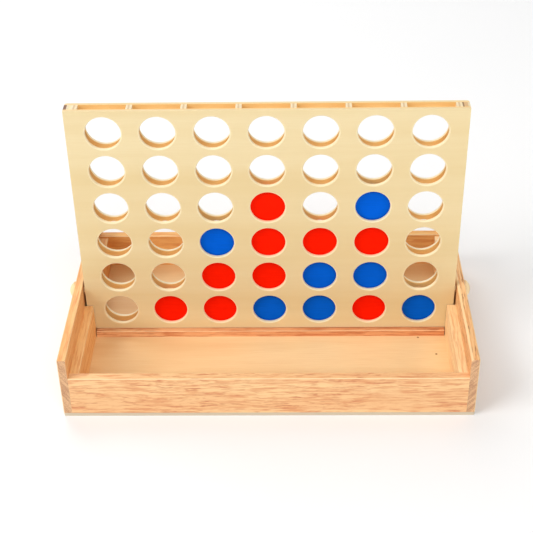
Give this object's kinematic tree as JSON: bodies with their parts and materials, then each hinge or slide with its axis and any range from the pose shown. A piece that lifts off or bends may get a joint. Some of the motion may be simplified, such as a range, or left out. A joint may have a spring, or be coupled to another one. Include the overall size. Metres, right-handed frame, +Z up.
{
  "type": "four in a row game frame",
  "caption": "Upright slotted game board with round windows, holding coloured discs in columns and standing in a low open wooden tray with domed pegs.",
  "frame": {"origin": "middle of the underside of the tray's base", "axes": "+X along the board's width, +Y to the back, +Z up; the players' front faces -Y"},
  "size_m": [0.3218, 0.1984, 0.2114],
  "materials": {
    "tray_wood": "oiled, satin",
    "bar_wood": "oiled, satin",
    "base_plywood": "sanded, satin",
    "board_plywood": "sanded, satin",
    "edge_plywood": "sawn edge, matt",
    "strip_wood": "sanded, satin",
    "peg_wood": "turned, satin",
    "red_lacquer": "lacquered, satin",
    "blue_lacquer": "lacquered, satin"
  },
  "bodies": {
    "tray": {"back_wall": "tray_wood", "base_panel": "base_plywood", "front_left_ledge": "tray_wood", "front_right_ledge": "tray_wood", "front_wall": "tray_wood", "left_wall": "tray_wood", "rear_left_ledge": "tray_wood", "rear_right_ledge": "tray_wood", "rest_bar": "bar_wood", "right_wall": "tray_wood"},
    "board": {"back_plate": "board_plywood", "front_plate": "board_plywood", "left_end_spacer": "edge_plywood", "left_end_strip": "strip_wood", "right_end_spacer": "edge_plywood", "right_end_strip": "strip_wood", "spacer_1": "edge_plywood", "spacer_2": "edge_plywood", "spacer_3": "edge_plywood", "spacer_4": "edge_plywood", "spacer_5": "edge_plywood", "spacer_6": "edge_plywood"},
    "left_peg": {"left_peg": "peg_wood"},
    "right_peg": {"right_peg": "peg_wood"},
    "disc_c2_n1": {"disc_c2_n1_red": "red_lacquer"},
    "disc_c3_n1": {"disc_c3_n1_red": "red_lacquer"},
    "disc_c3_n2": {"disc_c3_n2_red": "red_lacquer"},
    "disc_c3_n3": {"disc_c3_n3_blue": "blue_lacquer"},
    "disc_c4_n1": {"disc_c4_n1_blue": "blue_lacquer"},
    "disc_c4_n2": {"disc_c4_n2_red": "red_lacquer"},
    "disc_c4_n3": {"disc_c4_n3_red": "red_lacquer"},
    "disc_c4_n4": {"disc_c4_n4_red": "red_lacquer"},
    "disc_c5_n1": {"disc_c5_n1_blue": "blue_lacquer"},
    "disc_c5_n2": {"disc_c5_n2_blue": "blue_lacquer"},
    "disc_c5_n3": {"disc_c5_n3_red": "red_lacquer"},
    "disc_c6_n1": {"disc_c6_n1_red": "red_lacquer"},
    "disc_c6_n2": {"disc_c6_n2_blue": "blue_lacquer"},
    "disc_c6_n3": {"disc_c6_n3_red": "red_lacquer"},
    "disc_c6_n4": {"disc_c6_n4_blue": "blue_lacquer"},
    "disc_c7_n1": {"disc_c7_n1_blue": "blue_lacquer"}
  },
  "joints": [
    {"name": "board_lift", "type": "slide", "parent": "tray", "child": "board", "axis": [0, 0, 1], "range_m": [0, 0.06]},
    {"name": "left_peg_pull", "type": "slide", "parent": "tray", "child": "left_peg", "axis": [-1, 0, 0], "range_m": [0, 0.016]},
    {"name": "right_peg_pull", "type": "slide", "parent": "tray", "child": "right_peg", "axis": [1, 0, 0], "range_m": [0, 0.016]},
    {"name": "lift_c2_n1", "type": "slide", "parent": "board", "child": "disc_c2_n1", "axis": [0, 0, 1], "range_m": [0, 0.2013]},
    {"name": "lift_c3_n1", "type": "slide", "parent": "board", "child": "disc_c3_n1", "axis": [0, 0, 1], "range_m": [0, 0.2013]},
    {"name": "lift_c3_n2", "type": "slide", "parent": "disc_c3_n1", "child": "disc_c3_n2", "axis": [0, 0, 1], "range_m": [0, 0.1689]},
    {"name": "lift_c3_n3", "type": "slide", "parent": "disc_c3_n2", "child": "disc_c3_n3", "axis": [0, 0, 1], "range_m": [0, 0.1365]},
    {"name": "lift_c4_n1", "type": "slide", "parent": "board", "child": "disc_c4_n1", "axis": [0, 0, 1], "range_m": [0, 0.2013]},
    {"name": "lift_c4_n2", "type": "slide", "parent": "disc_c4_n1", "child": "disc_c4_n2", "axis": [0, 0, 1], "range_m": [0, 0.1689]},
    {"name": "lift_c4_n3", "type": "slide", "parent": "disc_c4_n2", "child": "disc_c4_n3", "axis": [0, 0, 1], "range_m": [0, 0.1365]},
    {"name": "lift_c4_n4", "type": "slide", "parent": "disc_c4_n3", "child": "disc_c4_n4", "axis": [0, 0, 1], "range_m": [0, 0.1041]},
    {"name": "lift_c5_n1", "type": "slide", "parent": "board", "child": "disc_c5_n1", "axis": [0, 0, 1], "range_m": [0, 0.2013]},
    {"name": "lift_c5_n2", "type": "slide", "parent": "disc_c5_n1", "child": "disc_c5_n2", "axis": [0, 0, 1], "range_m": [0, 0.1689]},
    {"name": "lift_c5_n3", "type": "slide", "parent": "disc_c5_n2", "child": "disc_c5_n3", "axis": [0, 0, 1], "range_m": [0, 0.1365]},
    {"name": "lift_c6_n1", "type": "slide", "parent": "board", "child": "disc_c6_n1", "axis": [0, 0, 1], "range_m": [0, 0.2013]},
    {"name": "lift_c6_n2", "type": "slide", "parent": "disc_c6_n1", "child": "disc_c6_n2", "axis": [0, 0, 1], "range_m": [0, 0.1689]},
    {"name": "lift_c6_n3", "type": "slide", "parent": "disc_c6_n2", "child": "disc_c6_n3", "axis": [0, 0, 1], "range_m": [0, 0.1365]},
    {"name": "lift_c6_n4", "type": "slide", "parent": "disc_c6_n3", "child": "disc_c6_n4", "axis": [0, 0, 1], "range_m": [0, 0.1041]},
    {"name": "lift_c7_n1", "type": "slide", "parent": "board", "child": "disc_c7_n1", "axis": [0, 0, 1], "range_m": [0, 0.2013]}
  ]
}
